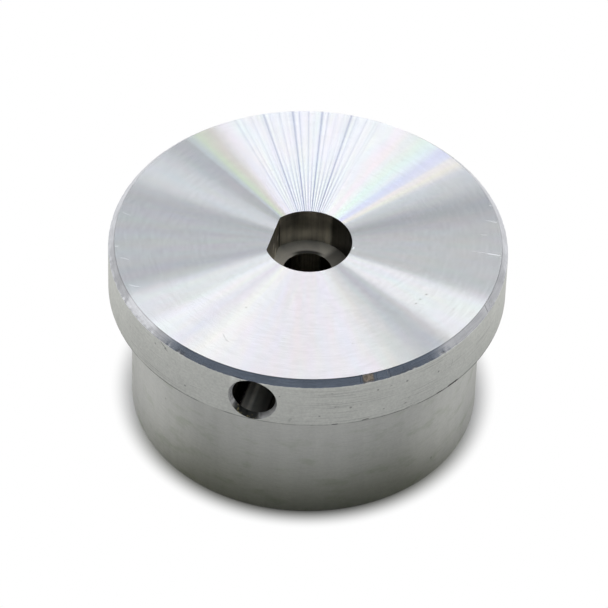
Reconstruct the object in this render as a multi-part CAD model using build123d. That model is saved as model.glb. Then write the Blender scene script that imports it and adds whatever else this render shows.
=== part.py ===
from build123d import *
from math import radians, tan
import os

# A flanged hub, turned in one piece from aluminium bar. All sizes are in millimetres.
# The origin is the centre of the base, and +Z runs up the turning axis to the faced top.
# The side hole opens towards -Y, and the socket's flat is on its -X side.

# The turned outline: a plain body that carries a wider flange.
body_diameter = 48.0
body_length = 20.1
flange_overhang = 3.25
flange_thickness = 8.1

# The edges: a bright 45 degree chamfer round the top, and the rest only broken.
face_chamfer = 0.87
rim_edge_break = 0.15
shoulder_radius = 0.4
base_edge_radius = 0.3

# A shallow D-shaped socket in the middle of the top.
socket_diameter = 12.0
socket_flat_depth = 1.0
socket_corner_radius = 0.5
socket_depth = 5.5

# A plain hole from the socket's floor down through the base.
through_diameter = 6.8
through_mouth_chamfer = 0.4

# A hole drilled from the rim to the turning axis, parallel to the socket's flat.
side_hole_diameter = 6.0
side_hole_drop = 0.25
countersink_diameter = 7.0
countersink_angle = 60.0

# How far each cutter starts outside the metal.
cutter_clearance = 2.0

# Sizes that follow from the ones above.
body_radius = body_diameter / 2
flange_radius = body_radius + flange_overhang
overall_height = body_length + flange_thickness
socket_radius = socket_diameter / 2
through_radius = through_diameter / 2
side_hole_radius = side_hole_diameter / 2
side_hole_height = overall_height - flange_thickness / 2 - side_hole_drop


def corner(section, radius, height):
    """The section's corner nearest to a radius and a height."""
    return section.vertices().sort_by_distance((radius, height))[0]


def turned_blank():
    """What leaves the lathe: half of the section, drawn as radius against height, spun about Z."""
    outline = Polyline(
        (through_radius, 0),
        (body_radius, 0),
        (body_radius, body_length),
        (flange_radius, body_length),
        (flange_radius, overall_height),
        (through_radius, overall_height),
        close=True,
    )
    section = make_face(outline)
    section = chamfer(corner(section, flange_radius, overall_height), face_chamfer)
    section = chamfer(corner(section, flange_radius, body_length), rim_edge_break)
    section = fillet(corner(section, body_radius, body_length), shoulder_radius)
    section = fillet(corner(section, body_radius, 0), base_edge_radius)
    section = chamfer(corner(section, through_radius, 0), through_mouth_chamfer)
    return revolve(Plane.XZ * section, Axis.Z)


def socket_cutter():
    """The D-shaped pocket: a circle cut off by the flat, with the milling cutter's small corners."""
    flat_distance = socket_radius - socket_flat_depth
    beside_flat = Rectangle(
        flat_distance + socket_diameter,
        2 * socket_diameter,
        align=(Align.MIN, Align.CENTER),
    )
    outline = Circle(socket_radius) & Pos(-flat_distance, 0) * beside_flat
    flat_corners = outline.vertices().group_by(Axis.X)[0]
    outline = fillet(flat_corners, socket_corner_radius)
    pocket = extrude(outline, socket_depth + cutter_clearance)
    return Pos(0, 0, overall_height - socket_depth) * pocket


def side_hole_cutter():
    """The drill that runs in from the rim to the turning axis, and the cone that breaks its mouth."""
    slope = tan(radians(countersink_angle / 2))
    countersink_radius = countersink_diameter / 2
    countersink_depth = (countersink_radius - side_hole_radius) / slope
    from_outside = (Align.CENTER, Align.CENTER, Align.MIN)
    drill = Cylinder(
        side_hole_radius,
        cutter_clearance + flange_radius,
        align=from_outside,
    )
    countersink = Cone(
        countersink_radius + cutter_clearance * slope,
        side_hole_radius,
        cutter_clearance + countersink_depth,
        align=from_outside,
    )
    start = (0, -flange_radius - cutter_clearance, side_hole_height)
    return Plane(start, z_dir=(0, 1, 0)) * (drill + countersink)


flanged_hub = turned_blank() - socket_cutter() - side_hole_cutter()

os.makedirs("parts", exist_ok=True)
export_step(flanged_hub, "parts/flanged_hub.step")
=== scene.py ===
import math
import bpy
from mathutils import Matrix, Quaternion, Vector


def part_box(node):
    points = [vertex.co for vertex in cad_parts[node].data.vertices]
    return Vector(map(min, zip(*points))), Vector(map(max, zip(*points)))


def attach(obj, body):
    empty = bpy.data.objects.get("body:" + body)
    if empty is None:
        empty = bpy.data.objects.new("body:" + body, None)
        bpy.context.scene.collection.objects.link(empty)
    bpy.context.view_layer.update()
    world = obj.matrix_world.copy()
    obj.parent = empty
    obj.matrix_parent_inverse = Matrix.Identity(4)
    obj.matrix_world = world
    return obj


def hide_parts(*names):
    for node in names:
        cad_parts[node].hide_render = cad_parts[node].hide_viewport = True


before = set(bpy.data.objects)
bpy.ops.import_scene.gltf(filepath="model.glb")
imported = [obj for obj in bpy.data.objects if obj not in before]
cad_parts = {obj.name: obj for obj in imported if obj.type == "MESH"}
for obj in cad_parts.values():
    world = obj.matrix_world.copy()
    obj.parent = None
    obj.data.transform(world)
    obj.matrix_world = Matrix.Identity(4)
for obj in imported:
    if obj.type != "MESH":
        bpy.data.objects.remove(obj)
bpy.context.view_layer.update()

# %% [markdown]
# # A flanged hub, turned in one piece from aluminium bar
#
# A lathe made this hub: a plain round body, a wider flange, a bright chamfer round the flange's
# top edge and a faced top. A milling cutter then sank a shallow D-shaped socket in the middle,
# and a drill ran in from the rim. The CAD model fixes every size. This file gives the hub the
# looks of cut metal: the grooves that the tools left, the light that they catch, and the wear.
#
# All places are in metres, in the CAD model's frame: the origin is the centre of the base, +Z
# runs up the turning axis, and the side hole opens towards -Y.

MM = 0.001
DEGREE = math.radians(1.0)
hub_low, hub_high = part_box("flanged_hub")
overall_height = hub_high.z
flange_radius = (hub_high.x - hub_low.x) / 2
body_length = 20.1 * MM
side_hole_height = 23.9 * MM
print("flange radius", flange_radius / MM, "mm, overall height", overall_height / MM, "mm")

# %% [markdown]
# ## The camera
#
# The hub stands on a table and is seen from above, from about 44 degrees, through a long lens.
# The camera is aimed at a point inside the hub and then rolled a little, as a camera held by
# hand would be. A long lens from a distance keeps the round outlines close to true ellipses.

# %% Camera
camera_place = Vector((119.712, -465.235, 486.437)) * MM
camera_aim = Vector((-0.303, -0.078, 16.245)) * MM
camera_roll = 1.8657 * DEGREE
camera_azimuth = 14.43 * DEGREE  # how far the camera stands round from -Y
to_camera_side = Vector((math.sin(camera_azimuth), -math.cos(camera_azimuth), 0.0))

lens = bpy.data.cameras.new("camera")
lens.sensor_width = 36.0
lens.lens = 288.83
lens.clip_start = 0.01
lens.clip_end = 20.0
camera = bpy.data.objects.new("camera", lens)
bpy.context.scene.collection.objects.link(camera)
camera.location = camera_place
camera.rotation_mode = "QUATERNION"
looking = (camera_aim - camera_place).to_track_quat("-Z", "Y")
camera.rotation_quaternion = looking @ Quaternion((0, 0, 1), camera_roll)
bpy.context.scene.camera = camera
print("camera is", round((camera_place - camera_aim).length / MM), "mm from its aim")

# %% [markdown]
# ## Helpers for node trees
#
# Geometry Nodes and shaders are both trees of nodes, so the same few helpers build them. A
# number or another node's output may stand in any input, which keeps the steps short to read.

# %% Node helpers
def add(tree, kind, **settings):
    """A new node of that kind, with its own settings."""
    made = tree.nodes.new(kind)
    for name, value in settings.items():
        setattr(made, name, value)
    return made


def feed(tree, socket, value):
    """Puts an output, or a plain value, into an input."""
    if isinstance(value, bpy.types.NodeSocket):
        tree.links.new(value, socket)
    else:
        socket.default_value = value


def wired(tree, kind, inputs, **settings):
    """A new node with those inputs fed, given back as its first output."""
    made = add(tree, kind, **settings)
    for name, value in inputs.items():
        feed(tree, made.inputs[name], value)
    return made.outputs[0] if made.outputs else None


def reckon(tree, operation, *values, clamp=False):
    """One Math node: its operation on one, two or three values."""
    settings = {"operation": operation, "use_clamp": clamp}
    return wired(tree, "ShaderNodeMath", dict(enumerate(values)), **settings)


def plus(tree, first, second):
    return reckon(tree, "ADD", first, second)


def minus(tree, first, second):
    return reckon(tree, "SUBTRACT", first, second)


def product(tree, value, *factors):
    for factor in factors:
        value = reckon(tree, "MULTIPLY", value, factor)
    return value


# %% Vector helpers
def vector_of(tree, x, y, z):
    return wired(tree, "ShaderNodeCombineXYZ", {0: x, 1: y, 2: z})


def split(tree, vector):
    """A vector's three parts."""
    made = add(tree, "ShaderNodeSeparateXYZ")
    feed(tree, made.inputs[0], vector)
    return made.outputs


def steer(tree, operation, first, second=(0.0, 0.0, 0.0)):
    """One Vector Math node."""
    made = add(tree, "ShaderNodeVectorMath", operation=operation)
    feed(tree, made.inputs[0], first)
    feed(tree, made.inputs["Scale" if operation == "SCALE" else 1], second)
    return made.outputs["Value" if operation in ("DOT_PRODUCT", "LENGTH") else "Vector"]


# %% Helpers for soft steps and noise
def ramped(tree, value, low, high, to_low=0.0, to_high=1.0, smooth=True):
    """Maps low..high to to_low..to_high and holds the ends."""
    made = add(tree, "ShaderNodeMapRange", clamp=True)
    made.interpolation_type = "SMOOTHSTEP" if smooth else "LINEAR"
    for socket, given_value in zip(made.inputs, (value, low, high, to_low, to_high)):
        feed(tree, socket, given_value)
    return made.outputs[0]


def band(tree, value, rising, full, falling, gone, strength=1.0, unit=1.0):
    """Up from 0 and down again: the four places are given in the unit."""
    up = ramped(tree, value, rising * unit, full * unit)
    return product(tree, up, ramped(tree, value, falling * unit, gone * unit, strength, 0.0))


def noise(tree, place, scale, detail=2.0, roughness=0.5, dimensions="3D", coloured=False):
    """A Noise Texture. In one dimension its place is a single number."""
    made = add(tree, "ShaderNodeTexNoise", noise_dimensions=dimensions)
    feed(tree, made.inputs["W" if dimensions == "1D" else "Vector"], place)
    for name, value in (("Scale", scale), ("Detail", detail), ("Roughness", roughness)):
        made.inputs[name].default_value = value
    return made.outputs["Color"] if coloured else made.outputs[0]


def drawn_out(tree, first, second, layer, detail=2.0, roughness=0.6, coloured=False):
    """Noise drawn out into lines. first and second are each a coordinate and its scale."""
    x, y = (product(tree, coordinate, scale) for coordinate, scale in (first, second))
    return noise(tree, vector_of(tree, x, y, layer), 1.0, detail, roughness, coloured=coloured)


def lines(tree, faint, bright, *given_noise):
    """Such lines as a gain on a colour, from faint to bright."""
    return ramped(tree, drawn_out(tree, *given_noise), 0.3, 0.7, faint, bright)


# %% [markdown]
# ## The finishes: empty materials first
#
# The lathe tree hands each kind of cut its own finish, so the six materials exist before it.
# Their nodes come further down, once the shape is there to look at.

# %% Materials, still empty
finishes = {}
for finish in (
    "faced_top", "cut_chamfer", "turned_rim", "turned_body", "bored_metal", "countersunk",
):
    finishes[finish] = bpy.data.materials.new(finish)
    finishes[finish].use_nodes = True
print("finishes:", ", ".join(finishes))

# %% [markdown]
# ## The hub's shape
#
# On the real hub, one outline spun about the axis gives almost everything, so the same rule
# makes it here. A Geometry Nodes tree places the outline's corners from named sizes, rounds
# them, and spins the outline with Curve to Mesh. Rounded corners matter: no machined edge is
# truly sharp, and the thin glint along each edge is what makes metal look solid. Two cutters,
# a D-shaped prism and a drill with its countersink, are then taken away with Mesh Boolean.

# %% The lathe tree: inputs
def offer(tree, name, kind, way="INPUT"):
    """A named input or output on the outside of a node tree."""
    tree.interface.new_socket(name, in_out=way, socket_type="NodeSocket" + kind)


lathe = bpy.data.node_groups.new("lathe_and_drill", "GeometryNodeTree")
offer(lathe, "Geometry", "Geometry", "OUTPUT")
lathe_sizes = {
    "Body Radius": 24.0 * MM,
    "Body Length": body_length,
    "Base Edge Radius": 0.3 * MM,
    "Shoulder Fillet": 0.4 * MM,
    "Flange Radius": flange_radius,
    "Overall Height": overall_height,
    "Face Chamfer": 0.87 * MM,
    "Rim Edge Break": 0.15 * MM,
    "Through Radius": 3.4 * MM,
    "Through Mouth": 0.4 * MM,
    "Socket Radius": 6.0 * MM,
    "Socket Depth": 5.5 * MM,
    "Flat Distance": 5.0 * MM,
    "Flat Corner Radius": 0.5 * MM,
    "Side Hole Radius": 3.0 * MM,
    "Side Hole Height": side_hole_height,
    "Countersink Radius": 3.5 * MM,
    "Nick Depth": 0.15 * MM,
}
for name in lathe_sizes:
    offer(lathe, name, "Float")
offer(lathe, "Segments", "Int")
offer(lathe, "Seed", "Float")
for name in finishes:
    offer(lathe, name, "Material")
given = add(lathe, "NodeGroupInput").outputs
print("the lathe tree has", len(lathe_sizes), "named sizes")

# %% The lathe tree: the outline's corners
spin_radius = 10.0 * MM  # the outline is laid out this far in, and Curve to Mesh carries it back
square, crisp, foot_round = 0.0, 0.03 * MM, 0.05 * MM
hold = 0.25 * MM  # extra points stand this far from an edge, so that nicks stay near it
body_r, flange_r, through_r = given["Body Radius"], given["Flange Radius"], given["Through Radius"]
under, top, bevel = given["Body Length"], given["Overall Height"], given["Face Chamfer"]
rim_break, mouth = given["Rim Edge Break"], given["Through Mouth"]
chamfer_foot, chamfer_head = minus(lathe, top, bevel), minus(lathe, flange_r, bevel)
outline_corners = [  # radius, height and rounding of each
    (plus(lathe, through_r, mouth), 0.0, square),
    (body_r, 0.0, given["Base Edge Radius"]),
    (body_r, under, given["Shoulder Fillet"]),
    (minus(lathe, flange_r, rim_break), under, crisp),
    (flange_r, plus(lathe, under, rim_break), crisp),
    (flange_r, plus(lathe, under, hold), square),
    (flange_r, minus(lathe, chamfer_foot, hold), square),
    (flange_r, chamfer_foot, foot_round),
    (minus(lathe, flange_r, hold), plus(lathe, chamfer_foot, hold), square),
    (plus(lathe, chamfer_head, hold), minus(lathe, top, hold), square),
    (chamfer_head, top, crisp),
    (minus(lathe, chamfer_head, hold), top, square),
    (through_r, top, square),
    (through_r, mouth, square),
]
print("the outline has", len(outline_corners), "corners")


# %% The lathe tree: lay out and round the outline
def corner_switch(kind, values):
    """An Index Switch that gives each point of the outline its own value."""
    made = add(lathe, "GeometryNodeIndexSwitch", data_type=kind)
    while len(made.index_switch_items) < len(values):
        made.index_switch_items.new()
    feed(lathe, made.inputs[0], add(lathe, "GeometryNodeInputIndex").outputs[0])
    for socket, value in zip(made.inputs[1:], values):
        feed(lathe, socket, value)
    return made.outputs[0]


loop = wired(lathe, "GeometryNodeMeshCircle", {"Vertices": len(outline_corners)})
places = [
    vector_of(lathe, minus(lathe, radius, spin_radius), minus(lathe, 0.0, height), 0.0)
    for radius, height, _ in outline_corners
]
laid_out = wired(lathe, "GeometryNodeSetPosition", {
    "Geometry": loop, "Position": corner_switch("VECTOR", places),
})
outline = wired(lathe, "GeometryNodeMeshToCurve", {"Mesh": laid_out})
corner_facets = 5
rounded = wired(lathe, "GeometryNodeFilletCurve", {
    "Curve": outline, "Count": corner_facets,
    "Radius": corner_switch("FLOAT", [rounding for _, _, rounding in outline_corners]),
}, mode="POLY")

# %% The lathe tree: spin the outline
path = wired(lathe, "GeometryNodeCurvePrimitiveCircle", {
    "Resolution": given["Segments"], "Radius": spin_radius,
}, mode="RADIUS")
spun = wired(lathe, "GeometryNodeCurveToMesh", {"Curve": path, "Profile Curve": rounded})
outward = wired(lathe, "GeometryNodeFlipFaces", {"Mesh": spun})
print("so far the lathe tree has", len(lathe.nodes), "nodes")

# %% [markdown]
# ## Nicks along the flange's edges
#
# The chamfer was cut last, and the rim has knocked about in a box since, so the flange's two
# edges aren't clean lines. A noise field pushes the points near them in a little, mostly not at
# all and now and then by a few hundredths of a millimetre. They only ever move inwards.

# %% The lathe tree: ragged edges and nicks
where = split(lathe, add(lathe, "GeometryNodeInputPosition").outputs[0])
height = where[2]
flat_place = vector_of(lathe, where[0], where[1], 0.0)
reach = steer(lathe, "LENGTH", flat_place)
seeded = vector_of(lathe, where[0], where[1], product(lathe, given["Seed"], 0.01))


def edge_damage(edge_radius, edge_height, ragged, deep):
    """How far points near one edge move in: a ragged part all along, and rare deep nicks."""
    off_r = reckon(lathe, "ABSOLUTE", minus(lathe, reach, edge_radius))
    off_z = reckon(lathe, "ABSOLUTE", minus(lathe, height, edge_height))
    near = ramped(lathe, reckon(lathe, "MAXIMUM", off_r, off_z), 0.06 * MM, 0.2 * MM, 1.0, 0.0)
    fine = ramped(lathe, noise(lathe, seeded, 1900.0, 3.0, 0.6), 0.42, 0.75, 0.0, ragged)
    rare = ramped(lathe, noise(lathe, seeded, 620.0, 1.0), deep, deep + 0.1)
    return product(lathe, near, plus(lathe, fine, rare))


upper_damage = edge_damage(flange_r, chamfer_foot, 0.6, 0.70)
damage = plus(lathe, upper_damage, edge_damage(flange_r, under, 0.25, 0.68))
moved_in = steer(
    lathe, "SCALE", steer(lathe, "NORMALIZE", flat_place),
    product(lathe, damage, product(lathe, given["Nick Depth"], -1.0)),
)
nicked = wired(lathe, "GeometryNodeSetPosition", {"Geometry": outward, "Offset": moved_in})
print("nicks go in by up to", lathe_sizes["Nick Depth"] / MM, "mm")

# %% [markdown]
# ## Which finish goes where
#
# Each tool left its own finish, and on a turned blank the place alone tells which tool it was.
# Set Material goes from the inside out: first all of the blank is a bore, then what lies outside
# the bore is body, and so on up to the faced top, the only part that looks up.

# %% The lathe tree: finishes on the blank
normal_z = split(lathe, add(lathe, "GeometryNodeInputNormal").outputs[0])[2]


def both(first, second):
    """True where the two tests are."""
    return wired(lathe, "FunctionNodeBooleanMath", {0: first, 1: second}, operation="AND")


def compared(operation, first, second):
    settings = {"data_type": "FLOAT", "operation": operation}
    return wired(lathe, "FunctionNodeCompare", {0: first, 1: second}, **settings)


def finished(mesh, finish, chosen=True):
    """Set Material on the chosen faces."""
    inputs = {"Geometry": mesh, "Selection": chosen, "Material": given[finish]}
    return wired(lathe, "GeometryNodeSetMaterial", inputs)


near_top = compared("GREATER_THAN", height, minus(lathe, chamfer_foot, 0.02 * MM))
past_bore = compared("GREATER_THAN", reach, plus(lathe, through_r, 1.0 * MM))
past_body = compared("GREATER_THAN", reach, plus(lathe, body_r, 0.45 * MM))
blank = finished(nicked, "bored_metal")
blank = finished(blank, "turned_body", past_bore)
blank = finished(blank, "turned_rim", past_body)
blank = finished(blank, "cut_chamfer", near_top)
blank = finished(blank, "faced_top", both(near_top, compared("GREATER_THAN", normal_z, 0.92)))

# %% [markdown]
# ## The cutters
#
# The socket's cutter is a circle cut off by a flat, with the small corners that a round milling
# cutter leaves, swept up a short line. The drill is a plain cylinder to the turning axis, and
# its countersink a cone. They run past the metal, so that no two surfaces lie on each other.

# %% The lathe tree: the D-shaped cutter
clearance = 2.0 * MM  # how far each cutter runs past the metal
socket_r, socket_deep = given["Socket Radius"], given["Socket Depth"]
flat_x = product(lathe, given["Flat Distance"], -1.0)
half_sweep = reckon(lathe, "ARCCOSINE", reckon(lathe, "DIVIDE", flat_x, socket_r))
arc = wired(lathe, "GeometryNodeCurveArc", {
    "Resolution": 97, "Radius": socket_r,
    "Start Angle": product(lathe, half_sweep, -1.0), "Sweep Angle": product(lathe, half_sweep, 2.0),
}, mode="RADIUS")
closed = wired(lathe, "GeometryNodeSetSplineCyclic", {"Geometry": arc, "Cyclic": True})
at_flat = compared("LESS_THAN", where[0], plus(lathe, flat_x, 0.02 * MM))
milled = wired(lathe, "GeometryNodeFilletCurve", {
    "Curve": closed, "Count": corner_facets,
    "Radius": product(lathe, at_flat, given["Flat Corner Radius"]),
}, mode="POLY")
filled = wired(lathe, "GeometryNodeFillCurve", {"Curve": milled}, mode="NGONS")
socket_floor = wired(lathe, "GeometryNodeTransform", {
    "Geometry": filled, "Translation": vector_of(lathe, 0.0, 0.0, minus(lathe, top, socket_deep)),
})
raised = wired(lathe, "GeometryNodeExtrudeMesh", {
    "Mesh": socket_floor, "Offset": (0.0, 0.0, 1.0),
    "Offset Scale": plus(lathe, socket_deep, clearance),
}, mode="FACES")
prism = add(lathe, "GeometryNodeJoinGeometry")
for part in (raised, wired(lathe, "GeometryNodeFlipFaces", {"Mesh": socket_floor})):
    lathe.links.new(part, prism.inputs[0])
weld = {"Geometry": prism.outputs[0], "Distance": 0.001 * MM}
socket_cutter = finished(wired(lathe, "GeometryNodeMergeByDistance", weld), "bored_metal")

# %% The lathe tree: the drill and its countersink
drill_segments = 72
sink_slope = math.tan(30.0 * DEGREE)  # half of the countersink's 60 degrees
drill_r, sink_r = given["Side Hole Radius"], given["Countersink Radius"]


def along_side_hole(solid, from_axis, finish):
    """Lays an upright solid along -Y, with its middle that far from the turning axis."""
    middle = vector_of(lathe, 0.0, product(lathe, from_axis, -1.0), given["Side Hole Height"])
    laid = wired(lathe, "GeometryNodeTransform", {
        "Geometry": solid, "Translation": middle, "Rotation": (90.0 * DEGREE, 0.0, 0.0),
    })
    return finished(laid, finish)


drill_length = plus(lathe, flange_r, clearance)
drill = wired(lathe, "GeometryNodeMeshCylinder", {
    "Vertices": drill_segments, "Radius": drill_r, "Depth": drill_length,
}, fill_type="NGON")
drill_cutter = along_side_hole(drill, product(lathe, drill_length, 0.5), "bored_metal")
sink_depth = reckon(lathe, "DIVIDE", minus(lathe, sink_r, drill_r), sink_slope)
sink = wired(lathe, "GeometryNodeMeshCone", {
    "Vertices": drill_segments, "Depth": plus(lathe, sink_depth, clearance),
    "Radius Top": plus(lathe, sink_r, clearance * sink_slope), "Radius Bottom": drill_r,
}, fill_type="NGON")
sink_cutter = along_side_hole(sink, minus(lathe, flange_r, sink_depth), "countersunk")

# %% The lathe tree: cut, and mark the sharp edges
cut = add(lathe, "GeometryNodeMeshBoolean", operation="DIFFERENCE", solver="EXACT")
feed(lathe, cut.inputs["Mesh 1"], blank)
for cutter in (socket_cutter, drill_cutter, sink_cutter):
    lathe.links.new(cutter, cut.inputs["Mesh 2"])
smooth = wired(lathe, "GeometryNodeSetShadeSmooth", {"Geometry": cut.outputs[0]}, domain="FACE")
edge_angle = add(lathe, "GeometryNodeInputMeshEdgeAngle").outputs[0]
sharp = wired(lathe, "GeometryNodeSetShadeSmooth", {
    "Geometry": smooth, "Shade Smooth": False,
    "Selection": compared("GREATER_THAN", edge_angle, 30.0 * DEGREE),
}, domain="EDGE")
whole = wired(lathe, "GeometryNodeRealizeInstances", {0: sharp})
on_base = both(compared("LESS_THAN", height, 0.01 * MM), compared("LESS_THAN", normal_z, -0.9))
wired(lathe, "NodeGroupOutput", {0: finished(whole, "turned_rim", on_base)})
print("the lathe tree has", len(lathe.nodes), "nodes")

# %% [markdown]
# ## From the tree to a plain mesh
#
# The finished hub has to be one plain mesh, so the tree runs once and its result is kept. Then
# Weighted Normal leans the shading on the big faces, so that flat ones stay flat beside the
# small round edges, and that is kept in the mesh too.

# %% Run the lathe tree and keep its mesh
hub = bpy.data.objects.new("turned_hub", bpy.data.meshes.new("turned_hub"))
bpy.context.scene.collection.objects.link(hub)
turning = hub.modifiers.new("lathe_and_drill", "NODES")
turning.node_group = lathe
tree_inputs = {**lathe_sizes, **finishes, "Segments": 720, "Seed": 3.0}
for item in lathe.interface.items_tree:
    if item.in_out == "INPUT":
        turning[item.identifier] = tree_inputs[item.name]


def settled(thing):
    """Turns what an object's modifiers make into its own plain mesh."""
    view_layer = bpy.context.evaluated_depsgraph_get()
    mesh = bpy.data.meshes.new_from_object(thing.evaluated_get(view_layer))
    thing.modifiers.clear()
    thing.data = mesh
    mesh.name = thing.name


settled(hub)
even_normals = hub.modifiers.new("even_normals", "WEIGHTED_NORMAL")
even_normals.keep_sharp = True
even_normals.weight = 100
settled(hub)
enclosed = sum(p.center.dot(p.normal) * p.area for p in hub.data.polygons) / 3
print("the hub has", len(hub.data.polygons), "faces and", round(enclosed / MM ** 3), "cubic mm")

# %% [markdown]
# ## Cut aluminium
#
# A lathe tool leaves fine grooves that run round the axis, and they spread a reflection across
# themselves but hardly at all along themselves. That is why a faced disc shows bright fans
# that turn with the light. A Glossy shader with strong anisotropy does the same, once its
# tangent follows the grooves: the axis crossed with the point's own place.

# %% Cut metal: the shared part of every finish
def start_finish(finish):
    """Empties the finish's tree and gives back the tree and its object coordinates."""
    tree = finishes[finish].node_tree
    tree.nodes.clear()
    return tree, add(tree, "ShaderNodeTexCoord").outputs["Object"]


def round_axis(tree, place):
    """Radius, azimuth and height of a point, and the direction that the grooves take there."""
    x, y, height = split(tree, place)
    level = vector_of(tree, x, y, 0.0)
    grooves = steer(tree, "NORMALIZE", steer(tree, "CROSS_PRODUCT", (0, 0, 1), level))
    return steer(tree, "LENGTH", level), reckon(tree, "ARCTAN2", y, x), height, grooves


def cut_metal(tree, colour, grooves, normal, across, stretch, soft_roughness, share):
    """Grooved metal: a stretched reflection over a softer, plainer one."""
    plain = add(tree, "ShaderNodeBsdfPrincipled")
    plain.inputs["Metallic"].default_value = 1.0
    feed(tree, plain.inputs["Base Color"], colour)
    feed(tree, plain.inputs["Roughness"], soft_roughness)
    grooved = add(tree, "ShaderNodeBsdfAnisotropic")
    feed(tree, grooved.inputs["Color"], colour)
    feed(tree, grooved.inputs["Roughness"], across)
    grooved.inputs["Anisotropy"].default_value = stretch
    feed(tree, grooved.inputs["Tangent"], grooves)
    if normal is not None:
        for layer in (plain, grooved):
            feed(tree, layer.inputs["Normal"], normal)
    layers = {0: share, 1: plain.outputs[0], 2: grooved.outputs[0]}
    surface = wired(tree, "ShaderNodeMixShader", layers)
    wired(tree, "ShaderNodeOutputMaterial", {"Surface": surface})
    print("this finish has", len(tree.nodes), "nodes")
    return plain


# %% Cut metal: tints, masks and relief
def tinted(tree, colour, strength):
    """A colour times a number."""
    return steer(tree, "SCALE", colour, strength)


def layered(tree, colour, *others):
    """Colours multiplied together, as coats of clear lacquer would be."""
    for other in others:
        colour = steer(tree, "MULTIPLY", colour, other)
    return colour


def stain(tree, taken, mask):
    """White, less that much of each colour where the mask is 1."""
    return steer(tree, "SUBTRACT", (1, 1, 1), tinted(tree, taken, mask))


def by_mask(tree, mask, clean, marked):
    """One number where a mask is 0 and another where it is 1."""
    return ramped(tree, mask, 0.0, 1.0, clean, marked)


def without(tree, *masks):
    """1 where there is none of the masks, down to 0 where one is full."""
    return product(tree, *(minus(tree, 1.0, mask) for mask in masks))


def bumped(tree, relief, distance):
    return wired(tree, "ShaderNodeBump", {"Height": relief, "Distance": distance, "Strength": 1.0})


# %% [markdown]
# ## Marks
#
# A scratch, a chip and a drop of dried oil are all short soft strokes with a place, a turn, a
# width and a length. One small node group draws such a stroke, and each mark is a copy of it
# with its own numbers, so that no two marks are alike.

# %% Marks: a small node group for one scratch, pit or stain
mark_group = bpy.data.node_groups.new("mark", "ShaderNodeTree")
for name in ("Across", "Along", "Turn", "Half Width", "Half Length"):
    offer(mark_group, name, "Float")
offer(mark_group, "Mark", "Float", "OUTPUT")
mark_in = add(mark_group, "NodeGroupInput").outputs
cosine, sine = (reckon(mark_group, kind, mark_in["Turn"]) for kind in ("COSINE", "SINE"))


def in_mark(operation, first, second, half_size, fade_from):
    """1 within the mark's half size, measured along one of its own two turned directions."""
    parts = product(mark_group, mark_in[first], cosine), product(mark_group, mark_in[second], sine)
    off = reckon(mark_group, "ABSOLUTE", reckon(mark_group, operation, *parts))
    share = reckon(mark_group, "DIVIDE", off, mark_in[half_size])
    return ramped(mark_group, share, fade_from, 1.0, 1.0, 0.0)


lengthwise = in_mark("ADD", "Across", "Along", "Half Length", 0.5)
widthwise = in_mark("SUBTRACT", "Along", "Across", "Half Width", 0.3)
wired(mark_group, "NodeGroupOutput", {0: product(mark_group, lengthwise, widthwise)})


def marks(tree, first, second, places):
    """All the marks of one kind. first and second are the surface's two coordinates.

    Each mark's place on them, its width and its length are in millimetres, its turn in degrees.
    """
    total = 0.0
    for at_first, at_second, turn, width, length, strength in places:
        mark = wired(tree, "ShaderNodeGroup", {
            "Across": minus(tree, first, at_first * MM),
            "Along": minus(tree, second, at_second * MM),
            "Turn": turn * DEGREE, "Half Width": width / 2 * MM, "Half Length": length / 2 * MM,
        }, node_tree=mark_group)
        total = plus(tree, total, product(tree, mark, strength))
    return total


# %% [markdown]
# ## The faced top
#
# This is the cut that the eye goes to first. Its grooves are so fine and even that they split
# light as a disc's do, into pale fans of cream, violet and green, and the facing tool's shake
# left a bundle of dark spokes at the back. Both depend on the turn round the axis alone, so a
# colour ramp over the azimuth paints the fans in as painted reflections, and powers of a cosine
# make the spokes. A second, grey ramp paints crisp steps of highlight into the fans at the sides.

# %% The faced top: fans
full_turn = 2 * math.pi
tree, place = start_finish("faced_top")
radius, azimuth, _, grooves = round_axis(tree, place)
turned = reckon(tree, "FRACT", plus(tree, reckon(tree, "DIVIDE", azimuth, full_turn), 1.0))


def turn_ramp(stops):
    """A colour ramp over the turn round the axis, with a stop at each of those degrees."""
    made = add(tree, "ShaderNodeValToRGB")
    feed(tree, made.inputs[0], turned)
    while len(made.color_ramp.elements) < len(stops):
        made.color_ramp.elements.new(1.0)
    for element, (degrees, colour) in zip(made.color_ramp.elements, stops):
        element.position = degrees / 360.0
        element.color = (*colour, 1.0)
    return made.outputs[0]


silver, steel, white = (0.985, 0.995, 1.0), (0.955, 0.975, 1.0), (0.975, 0.985, 1.0)
cream, violet, sky = (1.0, 0.965, 0.88), (0.82, 0.83, 1.0), (0.90, 0.98, 1.0)
mint, green, rose = (0.89, 1.0, 0.92), (0.92, 1.0, 0.82), (1.0, 0.955, 0.97)
lilac, straw = (0.985, 0.955, 1.0), (1.0, 0.99, 0.955)
bands = [  # degrees, tint and brightness
    (24, silver, 0.99), (34, steel, 0.84), (42, steel, 0.83), (50.5, steel, 0.88),
    (53.5, cream, 1.0), (56.5, rose, 1.0), (58, violet, 1.04), (61, violet, 1.03),
    (64, sky, 1.05), (68, mint, 1.05), (75, rose, 1.0), (84, white, 1.0),
    (126, white, 1.0), (134, lilac, 0.99), (138, cream, 0.90), (142, green, 1.04),
    (144.5, sky, 0.99), (146.3, steel, 0.80), (165, steel, 0.92), (171, steel, 0.84),
    (181, steel, 0.95), (215, steel, 1.0), (236, silver, 1.0), (245, lilac, 0.85),
    (253, straw, 0.95), (266, lilac, 0.92), (282, rose, 0.925), (302, lilac, 0.93),
    (312, straw, 0.80), (325, steel, 0.88), (333, silver, 0.99),
]
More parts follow.
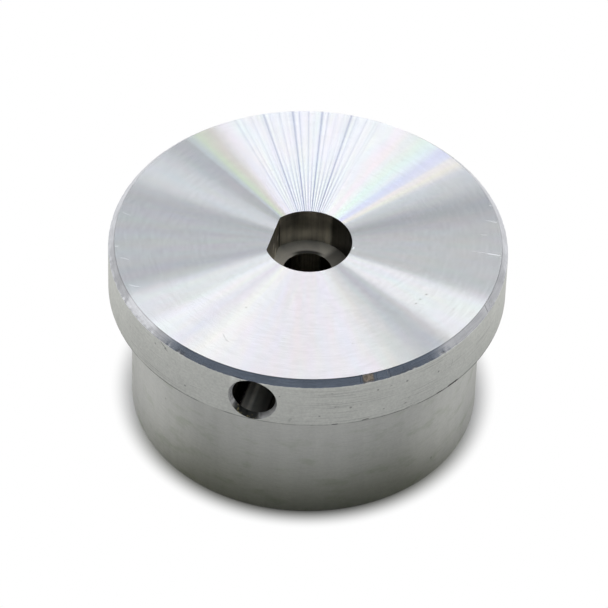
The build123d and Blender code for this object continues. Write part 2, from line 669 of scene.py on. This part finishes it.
steps = [  # degrees and brightness
    (0, 1.05), (12, 1.05), (20, 1.0), (33, 0.95), (36.5, 0.935), (40.5, 0.94),
    (42.5, 0.97), (55, 1.03), (66, 1.05), (78, 1.0), (168.5, 1.0), (171.5, 0.94),
    (179, 0.98), (186.5, 1.03), (190, 1.0), (191.5, 0.98), (194, 1.03), (205, 1.01),
    (210.5, 0.94), (214, 0.94), (216.5, 1.0), (224, 1.08), (233, 0.96), (252, 0.98),
    (330, 1.03),
]
# painted reflections: the fans' tints and brightness, and their crisp steps, are painted into the
# colour by the turn round the axis alone
fans = turn_ramp([(degrees, [level * part for part in tint]) for degrees, tint, level in bands])
painted_fan_steps = turn_ramp([(degrees, [level] * 3) for degrees, level in steps])
print("the fans have", len(bands), "stops and", len(steps), "crisp steps")


# %% The faced top: chatter
def spokes(count, offset, sharpness):
    """Narrow lines that run out from the middle, evenly spaced round the turn."""
    swing = reckon(tree, "COSINE", product(tree, minus(tree, azimuth, offset * DEGREE), count))
    return reckon(tree, "POWER", reckon(tree, "MULTIPLY_ADD", swing, 0.5, 0.5), sharpness)


spoke_count, spoke_offset = 39.7, 101.45
wander = noise(tree, product(tree, azimuth, 31.0), 1.0, 2.0, 0.6, "1D")
nearness = ramped(tree, radius, 6.0 * MM, 19.0 * MM, 1.0, 0.0, smooth=False)
strong = product(
    tree, spokes(spoke_count, spoke_offset, 40.0), ramped(tree, wander, 0.3, 0.6, 0.20, 0.30),
)
medium = product(
    tree, spokes(3 * spoke_count, spoke_offset + 1.1, 9.0),
    ramped(tree, wander, 0.35, 0.65, 0.02, 0.24),
)
weak = product(
    tree, spokes(4 * spoke_count, spoke_offset, 2.5), by_mask(tree, nearness, 0.05, 0.42),
)
chatter = plus(tree, strong, reckon(tree, "MAXIMUM", medium, weak))
# partly painted reflection: real chatter marks, drawn only from 81 to 137 degrees where the back
# highlight shows them, as the dark lines they make in it
chatter = product(tree, chatter, band(tree, azimuth, 81, 90, 114, 137, unit=DEGREE))
chatter_reflection_tint = stain(tree, (1.12, 1.05, 0.72), chatter)
print("spokes stand", round(360 / (4 * spoke_count), 1), "degrees apart at their closest")

# %% The faced top: tool lines, scratches and specks
x, y, _ = split(tree, place)
strokes = lines(tree, 0.975, 1.01, (radius, 4600.0), (azimuth, 6.0), 0.0)
mottle = lines(tree, 0.968, 1.012, (radius, 1900.0), (azimuth, 10.0), 8.0)
scratches = marks(tree, x, y, [
    (23.5, 4.87, 4, 0.16, 4.9, 0.45), (24.9, 4.93, 3, 0.26, 2.2, 0.8),
    (22.9, 11.2, 0, 0.34, 2.2, 0.5), (22.1, 14.2, 1, 0.4, 0.9, 0.6),
    (-25.2, -2.1, -15, 0.22, 1.8, 0.4), (-22.9, -10.6, -1, 0.2, 1.7, 0.5),
    (-20.1, -15.3, 1, 0.22, 2.2, 0.55), (-24.6, -8.6, 20, 0.3, 0.7, 0.6),
    (6.25, 0.55, 80, 0.3, 0.6, 1.0), (22.6, 8.3, 12, 0.3, 1.2, 0.35),
])
specks = marks(tree, x, y, [
    (17.12, -7.38, 0, 0.24, 0.3, 0.55), (17.45, -6.43, 0, 0.2, 0.28, 0.45),
    (18.0, -5.27, 0, 0.24, 0.3, 0.6), (22.2, -6.9, 0, 0.2, 0.3, 0.35),
    (-4.5, -14.8, 30, 0.2, 0.34, 0.5), (-5.8, -20.9, -51, 0.13, 1.1, 0.35),
    (-5.2, -21.6, -30, 0.13, 0.8, 0.35), (11.0, -17.2, 0, 0.2, 0.3, 0.4),
    (2.0, -19.0, 0, 0.18, 0.25, 0.3), (-14.0, 12.0, 0, 0.18, 0.25, 0.3),
    (8.0, 19.5, 0, 0.2, 0.25, 0.25),
])

# %% The faced top: its colour and its lean
top_metal = (0.918, 0.937, 0.965)
outward_lean = 0.06  # the grooves are sawteeth, steeper outside, so the face leans outward a little
glints = drawn_out(tree, (azimuth, 11.0), (radius, 120.0), 4.0, 3.0, 0.5, coloured=True)
sheen = layered(tree, steer(tree, "SUBTRACT", glints, (0.5, 0.5, 0.5)), (0.13, 0.10, 0.13))
sheen = steer(tree, "ADD", sheen, (1.0, 1.0, 1.0))
colour = layered(tree, fans, painted_fan_steps, chatter_reflection_tint, top_metal, sheen)
colour = tinted(tree, colour, product(tree, strokes, mottle, without(tree, specks)))
leaning = steer(tree, "NORMALIZE", vector_of(tree, x, y, 0.0))
leaning = steer(tree, "ADD", steer(tree, "SCALE", leaning, outward_lean), (0, 0, 1))
scratched = reckon(tree, "MINIMUM", scratches, 1.0)
cut_metal(
    tree, colour, grooves, steer(tree, "NORMALIZE", leaning), 0.26, 0.827,
    by_mask(tree, scratched, 0.3, 0.55), by_mask(tree, scratched, 0.9, 0.0),
)

# %% [markdown]
# ## The chamfer
#
# The chamfer was cut with a sharper tool and is nearly a mirror, in fine lines round the rim. It
# has taken knocks since: rough patches where its polish is gone, one short stroke across it, and
# a dull tan patch of dried cutting oil. A rough patch scatters light, so each mark lowers the
# share of the stretched reflection and roughens the soft one, and isn't just a lighter paint.

# %% The chamfer: wear
def round_rim(tree, azimuth):
    """The way round the flange from the middle of the front, as a length on its surface."""
    from_front = plus(tree, azimuth, math.pi / 2)
    return product(tree, reckon(tree, "WRAP", from_front, math.pi, -math.pi), flange_radius)


tree, place = start_finish("cut_chamfer")
_, azimuth, height, grooves = round_axis(tree, place)
arc_length = round_rim(tree, azimuth)
oil_patch = (15.7, 27.8, 0, 1.3, 2.1)
oil = marks(tree, arc_length, height, [(*oil_patch, 1.0)])
knocks = marks(tree, arc_length, height, [
    (*oil_patch, 0.95), (18.54, 27.8, 88, 0.2, 1.1, 0.5), (38.6, 27.8, 60, 0.5, 1.3, 0.9),
    (31.0, 27.8, 0, 1.2, 3.6, 0.35), (-20.3, 27.8, 0, 1.2, 2.6, 0.3),
    (44.5, 27.9, 70, 0.2, 1.0, 0.5),
])
dark_line = marks(tree, arc_length, height, [
    (14.6, 27.8, 90, 0.12, 1.0, 0.6), (16.9, 27.8, 90, 0.1, 1.0, 0.5),
    (18.8, 27.75, 88, 0.1, 1.0, 0.5), (37.6, 27.8, 60, 0.22, 1.1, 0.35),
    (20.9, 27.8, 90, 0.08, 1.0, 0.3), (-2.1, 27.4, 0, 0.12, 1.6, 0.4),
])
scuffs = ramped(tree, noise(tree, place, 1150.0, 4.0, 0.7), 0.54, 0.68)
scuffed_part = ramped(tree, noise(tree, place, 160.0, 1.0), 0.48, 0.58)
dull = plus(tree, knocks, product(tree, scuffs, scuffed_part, 0.32))
dull = reckon(tree, "MINIMUM", dull, 1.0)

# %% The chamfer: its colour
# partly the metal's own grey, partly a painted reflection: the blue tint stands in for the blue
# room that the chamfer mirrors
chamfer_metal_and_blue_reflection = (0.735, 0.745, 0.78)
fine_lines = lines(tree, 0.90, 1.06, (height, 9000.0), (azimuth, 9.0), 0.0, 3.0)
clouds = ramped(tree, noise(tree, place, 330.0, 3.0, 0.6), 0.35, 0.65, 0.93, 1.05)
# painted shade: a thin dark line along the chamfer's top edge, where a rounded edge would turn from
# the light
top_edge_shade = ramped(
    tree, height, overall_height - 0.14 * MM, overall_height - 0.03 * MM, 0.0, 0.3,
)
freckles = ramped(tree, noise(tree, place, 3800.0, 2.0, 0.6), 0.4, 0.6, 0.75, 1.3)
freckled = plus(tree, 1.0, product(tree, oil, minus(tree, freckles, 1.0)))
shades = product(tree, fine_lines, clouds, without(tree, dark_line, top_edge_shade), freckled)
colour = layered(tree, stain(tree, (0.26, 0.38, 0.52), oil), chamfer_metal_and_blue_reflection)
cut_metal(
    tree, tinted(tree, colour, shades), grooves, None, 0.15, 0.7,
    by_mask(tree, dull, 0.15, 0.62), by_mask(tree, dull, 0.7, 0.0),
)

# %% [markdown]
# ## The rim and the body
#
# Both were turned with a coarser feed and no polish, so they are a soft grey. Fine lines run
# round them, broken up by a grain where chips were dragged across. The rim has been handled
# most: it has pits, drag lines and a few dark strokes, and a thin line of painted shade runs
# along its lower edge.
# Voronoi cells place the pits, and only the cells whose random value is high enough get one.

# %% Pits
def pits(tree, place, scale, wanted, size):
    """Small round pits: one in each Voronoi cell whose random value is over the wanted one."""
    cells = add(tree, "ShaderNodeTexVoronoi", feature="F1", voronoi_dimensions="3D")
    feed(tree, cells.inputs["Vector"], place)
    cells.inputs["Scale"].default_value = scale
    chance = split(tree, cells.outputs["Color"])[0]
    near = ramped(tree, cells.outputs["Distance"], size * 0.45, size, 1.0, 0.0)
    return product(tree, near, ramped(tree, chance, wanted, wanted + 0.05))


# %% The rim: lines and grain
tree, place = start_finish("turned_rim")
_, azimuth, height, grooves = round_axis(tree, place)
arc_length = round_rim(tree, azimuth)
turning_lines = lines(tree, 0.95, 1.03, (height, 7000.0), (azimuth, 12.0), 0.0, 3.0)
drag_lines = drawn_out(tree, (height, 5200.0), (azimuth, 2.2), 7.0, 1.0, 0.5)
drag_lines = ramped(tree, drag_lines, 0.58, 0.70, 0.0, 0.20)
drag_part = ramped(tree, noise(tree, place, 75.0, 1.0), 0.50, 0.64)
handled = band(tree, arc_length, 4, 10, 29, 34, unit=MM)
dragged = product(tree, drag_lines, reckon(tree, "MAXIMUM", drag_part, handled))
grain = ramped(tree, noise(tree, place, 2600.0, 3.0, 0.7), 0.3, 0.7, 0.93, 1.06)
clouds = ramped(tree, noise(tree, place, 260.0, 3.0, 0.6), 0.3, 0.7, 0.965, 1.025)

# %% The rim: dark strokes, pits and painted edge shade
strokes = marks(tree, arc_length, height, [
    (-14.0, 26.9, -30, 0.2, 1.5, 0.55), (-13.5, 26.45, -12, 0.16, 0.9, 0.6),
    (9.1, 22.05, 0, 0.22, 0.34, 0.6), (11.2, 23.6, 0, 0.18, 0.3, 0.4),
    (17.95, 21.7, 0, 0.2, 0.32, 0.45), (10.7, 26.2, 0, 0.16, 0.24, 0.4),
    (18.9, 25.7, 0, 0.2, 0.4, 0.35), (3.7, 25.4, 0, 0.2, 0.26, 0.5),
    (21.2, 21.5, 15, 0.3, 0.45, 0.4), (21.7, 22.3, 15, 0.2, 0.34, 0.3),
    (29.4, 20.42, 1, 0.42, 2.4, 0.8), (26.9, 20.38, -2, 0.28, 1.3, 0.55),
    (15.4, 20.5, 7, 0.24, 1.3, 0.65), (11.2, 20.35, 3, 0.26, 1.1, 0.5),
    (21.9, 20.5, 4, 0.16, 1.4, 0.4), (15.9, 25.35, -3, 0.1, 9.0, 0.16),
    (18.7, 24.4, -2, 0.1, 13.0, 0.13), (17.9, 26.1, -3, 0.09, 8.0, 0.14),
    (29.0, 24.6, 80, 0.2, 1.5, 0.2), (31.5, 23.0, 75, 0.16, 1.2, 0.2),
    (5.2, 21.2, 60, 0.5, 1.0, 0.16), (-8.6, 22.6, 5, 0.14, 1.6, 0.2),
    (-40.0, 24.0, 10, 0.14, 2.2, 0.3), (60.0, 23.0, -8, 0.16, 3.0, 0.3),
])
pitted = plus(
    tree, product(tree, pits(tree, place, 620.0, 0.80, 0.15), 0.42),
    product(tree, pits(tree, place, 1500.0, 0.93, 0.2), 0.25),
)
# painted shade: a broken dark line just above the flange's lower edge, where its edge break turns
# from the light
lower_edge_shade = ramped(tree, height, body_length + 0.22 * MM, body_length + 0.38 * MM, 1.0, 0.0)
broken = ramped(tree, noise(tree, place, 210.0, 3.0, 0.7), 0.30, 0.60, 0.15, 0.65)
lower_edge_shade = product(tree, lower_edge_shade, broken)
grime_and_edge_shade = reckon(tree, "MINIMUM", plus(tree, strokes, plus(tree, pitted, lower_edge_shade)), 0.9)

# %% The rim: its colour and relief
rim_metal = (0.722, 0.729, 0.688)
colour_gain = product(tree, turning_lines, grain, clouds, without(tree, grime_and_edge_shade, dragged))
relief = minus(tree, product(tree, turning_lines, 0.25), plus(tree, grime_and_edge_shade, dragged))
cut_metal(
    tree, tinted(tree, rim_metal, colour_gain), grooves, bumped(tree, relief, 0.012 * MM), 0.32, 0.3,
    ramped(tree, grime_and_edge_shade, 0.0, 0.6, 0.35, 0.6), 0.7,
)

# %% The body
body_metal = (0.722, 0.724, 0.690)
tree, place = start_finish("turned_body")
_, azimuth, height, grooves = round_axis(tree, place)
turning_lines = lines(tree, 0.965, 1.025, (height, 6000.0), (azimuth, 10.0), 3.0, 3.0)
streaks = lines(tree, 0.975, 1.02, (azimuth, 13.0), (height, 55.0), 1.0, 2.0, 0.5)
smudges = drawn_out(tree, (azimuth, 5.0), (height, 420.0), 5.0, 4.0)
smudges = ramped(tree, smudges, 0.50, 0.70, 0.0, 0.12)
grain = ramped(tree, noise(tree, place, 2300.0, 3.0, 0.7), 0.3, 0.7, 0.97, 1.03)
dents = product(tree, pits(tree, place, 420.0, 0.86, 0.11), 0.24)
colour = layered(tree, stain(tree, (1.1, 0.9, 1.3), smudges), body_metal)
colour_gain = product(tree, turning_lines, streaks, grain, without(tree, dents))
relief = bumped(tree, minus(tree, product(tree, turning_lines, 0.3), dents), 0.01 * MM)
cut_metal(tree, tinted(tree, colour, colour_gain), grooves, relief, 0.29, 0.3, 0.3, 0.7)

# %% [markdown]
# ## The bores
#
# Nothing was polished in here. A drill leaves rings round its own axis and a milling cutter
# leaves upright steps, and both hold a film of dark oil, so the walls are dull and uneven. One
# finish serves all three holes: the way a face looks tells the socket's floor and flat from its
# wall, and the distance from the axis tells the side hole. Much of the light and shade in here
# is painted: darker patches on the walls, floor, corners and side hole, a lighter floor, and
# two highlights along the side hole.

# %% The bores: walls, floor and flat
tree, place = start_finish("bored_metal")
radius, azimuth, height, grooves = round_axis(tree, place)
x, y, _ = split(tree, place)
facing = split(tree, add(tree, "ShaderNodeNewGeometry").outputs["Normal"])
on_floor = ramped(tree, facing[2], 0.7, 0.9)
on_flat = ramped(tree, facing[0], 0.97, 0.99)
in_side_hole = ramped(tree, radius, 7.0 * MM, 9.0 * MM)
# painted shade in the socket's corners beside the flat, below 26.2 mm
corner_shade = product(
    tree, band(tree, facing[0], 0.82, 0.88, 0.985, 0.998),
    ramped(tree, height, 26.2 * MM, 27.2 * MM, 0.8, 0.0),
)
cutter_steps = drawn_out(tree, (azimuth, 9.0), (height, 90.0), 2.0)
cutter_steps = product(tree, cutter_steps, without(tree, on_floor))
cutter_steps = ramped(tree, cutter_steps, 0.3, 0.7, 0.80, 1.08)
oil_film = ramped(tree, noise(tree, place, 380.0, 3.0, 0.6), 0.35, 0.65, 0.85, 1.05)
chips = product(tree, on_flat, marks(tree, y, height, [
    (2.45, 25.1, 70, 0.9, 1.3, 1.0), (0.5, 25.3, 60, 0.7, 1.2, 0.9),
    (1.5, 23.4, 80, 1.0, 1.9, 1.0),
]))

# %% The bores: painted highlights and shade in the side hole
above_axis = minus(tree, height, side_hole_height)
round_hole = reckon(tree, "ARCTAN2", above_axis, x)


def painted_hole_highlight(middle, strength):
    """A painted highlight along the side hole, at that turn round its axis."""
    off = reckon(tree, "ABSOLUTE", minus(tree, round_hole, middle * DEGREE))
    return product(tree, ramped(tree, off, 0.03, 0.17, strength, 0.0), in_side_hole)


streaks = reckon(tree, "MAXIMUM", painted_hole_highlight(-104.0, 1.0), painted_hole_highlight(-127.0, 0.45))
# painted shade on one side of the side hole
side_hole_shade = ramped(tree, round_hole, -92.0 * DEGREE, -66.0 * DEGREE, 0.0, 0.7)
side_hole_shade = product(tree, side_hole_shade, in_side_hole)

# %% The bores: painted shade on walls and floor
# painted shade: the socket wall darker over one stretch of its turn, the floor over another, a dark
# ring on the floor by the through hole, and the side hole darker all along
wall_shade = product(
    tree, band(tree, azimuth, -40, -20, 70, 77, 0.86, DEGREE),
    ramped(tree, radius, 6.05 * MM, 6.3 * MM, 1.0, 0.0), without(tree, on_floor),
)
floor_shade = product(tree, on_floor, band(tree, azimuth, -60, -20, 58, 72, 0.72, DEGREE))
off_back = reckon(tree, "ABSOLUTE", minus(tree, azimuth, 104.0 * DEGREE))
lip_shade = product(
    tree, on_floor, ramped(tree, radius, 3.75 * MM, 4.15 * MM, 0.9, 0.0),
    ramped(tree, off_back, 18.0 * DEGREE, 45.0 * DEGREE, 1.0, 0.0),
)
deep_hole_shade = ramped(tree, radius, 6.1 * MM, 7.0 * MM, 0.0, 0.45)

# %% The bores: their colour
bore_metal = (0.79, 0.745, 0.645)
# painted light and shade in the gain: the masks above darken, the side hole's highlights and the
# floor are painted lighter, and the flat is painted darker round its lighter rough chips
colour_gain = product(
    tree, cutter_steps, oil_film,
    without(tree, wall_shade, deep_hole_shade, floor_shade, lip_shade, side_hole_shade, corner_shade),
    by_mask(tree, on_floor, 1.0, 1.22), ramped(tree, streaks, 0.0, 1.0, 1.0, 2.2, smooth=False),
    by_mask(tree, product(tree, on_flat, without(tree, chips)), 1.0, 0.75),
    by_mask(tree, chips, 1.0, 1.22),
)
rough = reckon(tree, "MAXIMUM", on_floor, chips)
rough = reckon(tree, "MAXIMUM", rough, product(tree, streaks, 0.2))
wall_roughness = ramped(tree, radius, 6.1 * MM, 7.0 * MM, 0.30, 0.16)
plain = cut_metal(
    tree, tinted(tree, bore_metal, colour_gain), grooves, None, wall_roughness, 0.3,
    by_mask(tree, rough, wall_roughness, 0.6), by_mask(tree, rough, 0.6, 0.0),
)
feed(tree, plain.inputs["Metallic"], by_mask(tree, rough, 1.0, 0.0))

# %% [markdown]
# ## The countersink
#
# A hand-held countersink chatters and leaves a rough, bright cone with fine rings. Its lower left
# is painted dark as shade, with a few brass-coloured painted glints, and its upper right is painted
# in shade too.
# The cone is half metal and half matt, because its burrs scatter the light.

# %% The countersink
sink_metal = (0.88, 0.88, 0.87)
tree, place = start_finish("countersunk")
x, y, height = split(tree, place)
above_axis = minus(tree, height, side_hole_height)
round_hole = reckon(tree, "ARCTAN2", above_axis, x)
hole_grooves = steer(tree, "CROSS_PRODUCT", (0, 1, 0), vector_of(tree, x, 0.0, above_axis))
rings = lines(tree, 0.80, 1.06, (round_hole, 3.0), (y, 4000.0), 0.0)
# painted shade on the cone's lower left, with painted brass glints in it
lower_left_shade = band(tree, round_hole, -152, -130, -84, -62, unit=DEGREE)
brass_glints = ramped(tree, noise(tree, place, 1900.0, 2.0, 0.6), 0.56, 0.70)
shade_and_glint_colour = steer(tree, "ADD", (0.10, 0.10, 0.09), tinted(tree, (0.52, 0.44, 0.18), brass_glints))
in_shade = band(tree, round_hole, -35, 5, 50, 75, 0.6, DEGREE)
clean = tinted(tree, sink_metal, product(tree, rings, without(tree, in_shade)))
colour = steer(
    tree, "ADD", tinted(tree, clean, without(tree, lower_left_shade)), tinted(tree, shade_and_glint_colour, lower_left_shade),
)
hole_grooves = steer(tree, "NORMALIZE", hole_grooves)
plain = cut_metal(tree, colour, hole_grooves, None, 0.5, 0.2, 0.6, 0.4)
plain.inputs["Metallic"].default_value = 0.5

# %% [markdown]
# ## The table
#
# The hub stands on a pale table, and its sides mirror that table, so the table's brightness near
# the hub sets theirs. Light Path lets the two jobs differ: what the camera sees is white but for
# a narrow shadow at the foot, and what the metal mirrors is dim near the hub, bright further out.

# %% Floor
floor_reach, floor_level = 3.0, -0.01 * MM
floor_mesh = bpy.data.meshes.new("floor")
floor_mesh.from_pydata([
    (x * floor_reach, y * floor_reach, floor_level) for x, y in ((-1, -1), (1, -1), (1, 1), (-1, 1))
], [], [(0, 1, 2, 3)])
floor = bpy.data.objects.new("floor", floor_mesh)
bpy.context.scene.collection.objects.link(floor)
print("the floor is", 2 * floor_reach, "m across")

# %% Floor: what is mirrored in the hub
shade_shift = 24.0 * MM  # the hub's shade falls towards the front, away from the bright back wall
across_view = Vector((-to_camera_side.y, to_camera_side.x, 0.0))

pale = bpy.data.materials.new("pale_table")
pale.use_nodes = True
tree = pale.node_tree
tree.nodes.clear()
place = add(tree, "ShaderNodeTexCoord").outputs["Object"]
from_hub = steer(tree, "LENGTH", place)
from_shade = steer(tree, "LENGTH", steer(tree, "SUBTRACT", place, to_camera_side * shade_shift))
sideways = reckon(tree, "ABSOLUTE", steer(tree, "DOT_PRODUCT", place, across_view))
to_camera = steer(tree, "DOT_PRODUCT", place, to_camera_side)
# painted light for mirrored rays only: the table glows brighter in two patches beside the hub, and
# dimmer behind it
beside = product(
    tree, ramped(tree, sideways, 14.0 * MM, 24.0 * MM),
    ramped(tree, to_camera, 10.0 * MM, 26.0 * MM, 1.0, 0.0),
    ramped(tree, from_hub, 23.5 * MM, 32.0 * MM, 0.10, 0.30),
    ramped(tree, from_hub, 33.0 * MM, 39.0 * MM, 1.0, 0.0),
)
far_table = reckon(tree, "MAXIMUM", ramped(tree, from_shade, 38.0 * MM, 90.0 * MM), beside)
behind = ramped(tree, to_camera, -60.0 * MM, -12.0 * MM, 0.74, 1.0)

# %% Floor: its colour, and which ray sees what
path_kind = add(tree, "ShaderNodeLightPath").outputs
glossy, through = path_kind["Is Glossy Ray"], path_kind["Is Transmission Ray"]
mirrored = reckon(tree, "ADD", glossy, through, clamp=True)
reflected = product(tree, mirrored, far_table, behind)
foot_shadow = ramped(tree, from_hub, 23.2 * MM, 27.2 * MM)
shown = product(tree, path_kind["Is Camera Ray"], foot_shadow)
# painted shadow: the table's own colour is darker and warmer in front of the hub's foot, so that
# the hub's sides mirror a deep shadow there
forwards = steer(tree, "DOT_PRODUCT", steer(tree, "NORMALIZE", place), to_camera_side)
near_foot = ramped(tree, from_hub, 23.0 * MM, 37.0 * MM, 0.62, 0.0)
front_shadow = product(tree, near_foot, ramped(tree, forwards, 0.1, 1.0))
shade = product(tree, without(tree, front_shadow), 0.92)
less_blue = without(tree, product(tree, front_shadow, 0.32))
shadowed_colour = vector_of(tree, shade, shade, product(tree, shade, less_blue))
surface = wired(tree, "ShaderNodeMixShader", {
    0: reckon(tree, "MAXIMUM", shown, reflected),
    1: wired(tree, "ShaderNodeBsdfDiffuse", {"Color": shadowed_colour}),
    2: wired(tree, "ShaderNodeEmission", {}),
})
wired(tree, "ShaderNodeOutputMaterial", {"Surface": surface})
floor_mesh.materials.append(pale)
print("the table's finish has", len(tree.nodes), "nodes")

# %% [markdown]
# ## The light banks
#
# Each bright fan on the faced top is a light's reflection, drawn out across the grooves. So the
# lights are flat glowing panels overhead, and each one's corners are given as directions along
# the fans that it has to make: how far a direction leans to the right and to the back.

# %% Light bank panels
mirror_tilt = 0.7236  # how far the direction that mirrors the camera leans from the zenith
panel_height = 1.5
lowest_rise = 0.02  # the least upward share of a direction, so that no corner goes to infinity


def along_fan(fan, *reaches):
    """Leans to the right and to the back, out along one fan of the faced top."""
    angle = math.radians(fan)
    return [
        (reach * math.cos(angle), mirror_tilt + reach * math.sin(angle)) for reach in reaches
    ]


def panel_corner(x, y):
    """Where a panel's corner hangs, for a direction that leans that far right and back."""
    z = math.sqrt(max(lowest_rise, 1 - x * x - y * y))
    turn = Quaternion((0, 0, 1), camera_azimuth)
    return turn @ Vector((x / z, y / z, 1.0)) * panel_height


def panel(name, strength, corners):
    """A flat glowing panel above the table, with its corners given as directions."""
    mesh = bpy.data.meshes.new(name)
    hung = [panel_corner(x, y) for x, y in corners]
    mesh.from_pydata(hung, [], [tuple(range(len(corners)))])
    made = bpy.data.objects.new(name, mesh)
    bpy.context.scene.collection.objects.link(made)
    glow = bpy.data.materials.new(name)
    glow.use_nodes = True
    glow.node_tree.nodes.clear()
    light = wired(glow.node_tree, "ShaderNodeEmission", {"Strength": strength})
    wired(glow.node_tree, "ShaderNodeOutputMaterial", {"Surface": light})
    mesh.materials.append(glow)
    print(name, "has", len(corners), "corners and strength", strength)


panel("overhead_bank", 1.52, [
    *along_fan(218, 0.0, 0.3, 0.6, 0.9), (-0.62, -0.02), (-0.3, -0.02), (0.0, 0.02),
    *along_fan(296, 0.78), *along_fan(303, 0.5), *along_fan(311, 0.15),
])
panel("left_bank", 1.05, [
    *along_fan(206.5, 0.2, 0.6), *along_fan(206, 0.9), *along_fan(206.5, 1.1),
    *along_fan(222, 1.19), *along_fan(217.5, 0.9, 0.6, 0.2),
])
panel("right_bank", 1.42, [*along_fan(317, 0.18, 0.6, 0.95), *along_fan(336, 0.95, 0.6, 0.18)])
panel("back_bank", 1.7, [
    *along_fan(45.5, 0.0), *along_fan(50.5, 0.2), *along_fan(60, 0.24), *along_fan(90, 0.25),
    *along_fan(120, 0.24), *along_fan(129, 0.2), *along_fan(132, 0.0),
])

# %% [markdown]
# ## The room
#
# Behind the hub the room is pale, and on the camera's side it is dark and a little blue above a
# low band of far windows. The chamfer mirrors that dark side in front, and the windows keep the
# top a clear grey when it is seen from behind.

# %% The room
room = bpy.data.worlds.new("room")
bpy.context.scene.world = room
room.use_nodes = True
tree = room.node_tree
tree.nodes.clear()
direction = add(tree, "ShaderNodeTexCoord").outputs["Generated"]
upward = split(tree, direction)[2]
to_back = steer(tree, "DOT_PRODUCT", direction, -to_camera_side)
high_up = reckon(tree, "MAXIMUM", minus(tree, upward, 0.55), 0.0)
back_half = minus(tree, to_back, high_up)
front_wall = product(
    tree, ramped(tree, upward, 0.42, 0.50, 0.0, 0.20), ramped(tree, upward, 0.74, 0.84, 1.0, 0.06),
)
front_wall = plus(tree, front_wall, band(tree, upward, 0.03, 0.16, 0.28, 0.42, 0.55))
room_light = ramped(tree, back_half, -0.30, -0.10, front_wall, 0.70)
horizon = ramped(tree, upward, 0.02, 0.06, 1.0, 0.0)
level = wired(tree, "ShaderNodeMix", {0: horizon, 2: room_light, 3: 1.0}, data_type="FLOAT")

# %% The room: its tint
low_down = ramped(tree, upward, 0.36, 0.48, 1.0, 0.0)
neutral = reckon(tree, "MAXIMUM", ramped(tree, back_half, -0.30, -0.10), low_down)
room_tint = add(tree, "ShaderNodeMix", data_type="RGBA")
feed(tree, room_tint.inputs[0], neutral)
room_tint.inputs[6].default_value = (0.64, 0.77, 0.96, 1)
room_tint.inputs[7].default_value = (0.8, 0.8, 0.8, 1)
glow = wired(tree, "ShaderNodeBackground", {"Color": room_tint.outputs[2], "Strength": level})
wired(tree, "ShaderNodeOutputWorld", {"Surface": glow})
bpy.context.scene.view_settings.view_transform = "Standard"
print("the room has", len(tree.nodes), "nodes")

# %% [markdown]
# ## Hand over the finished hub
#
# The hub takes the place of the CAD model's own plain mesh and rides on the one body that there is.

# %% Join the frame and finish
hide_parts("flanged_hub")
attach(hub, "root")
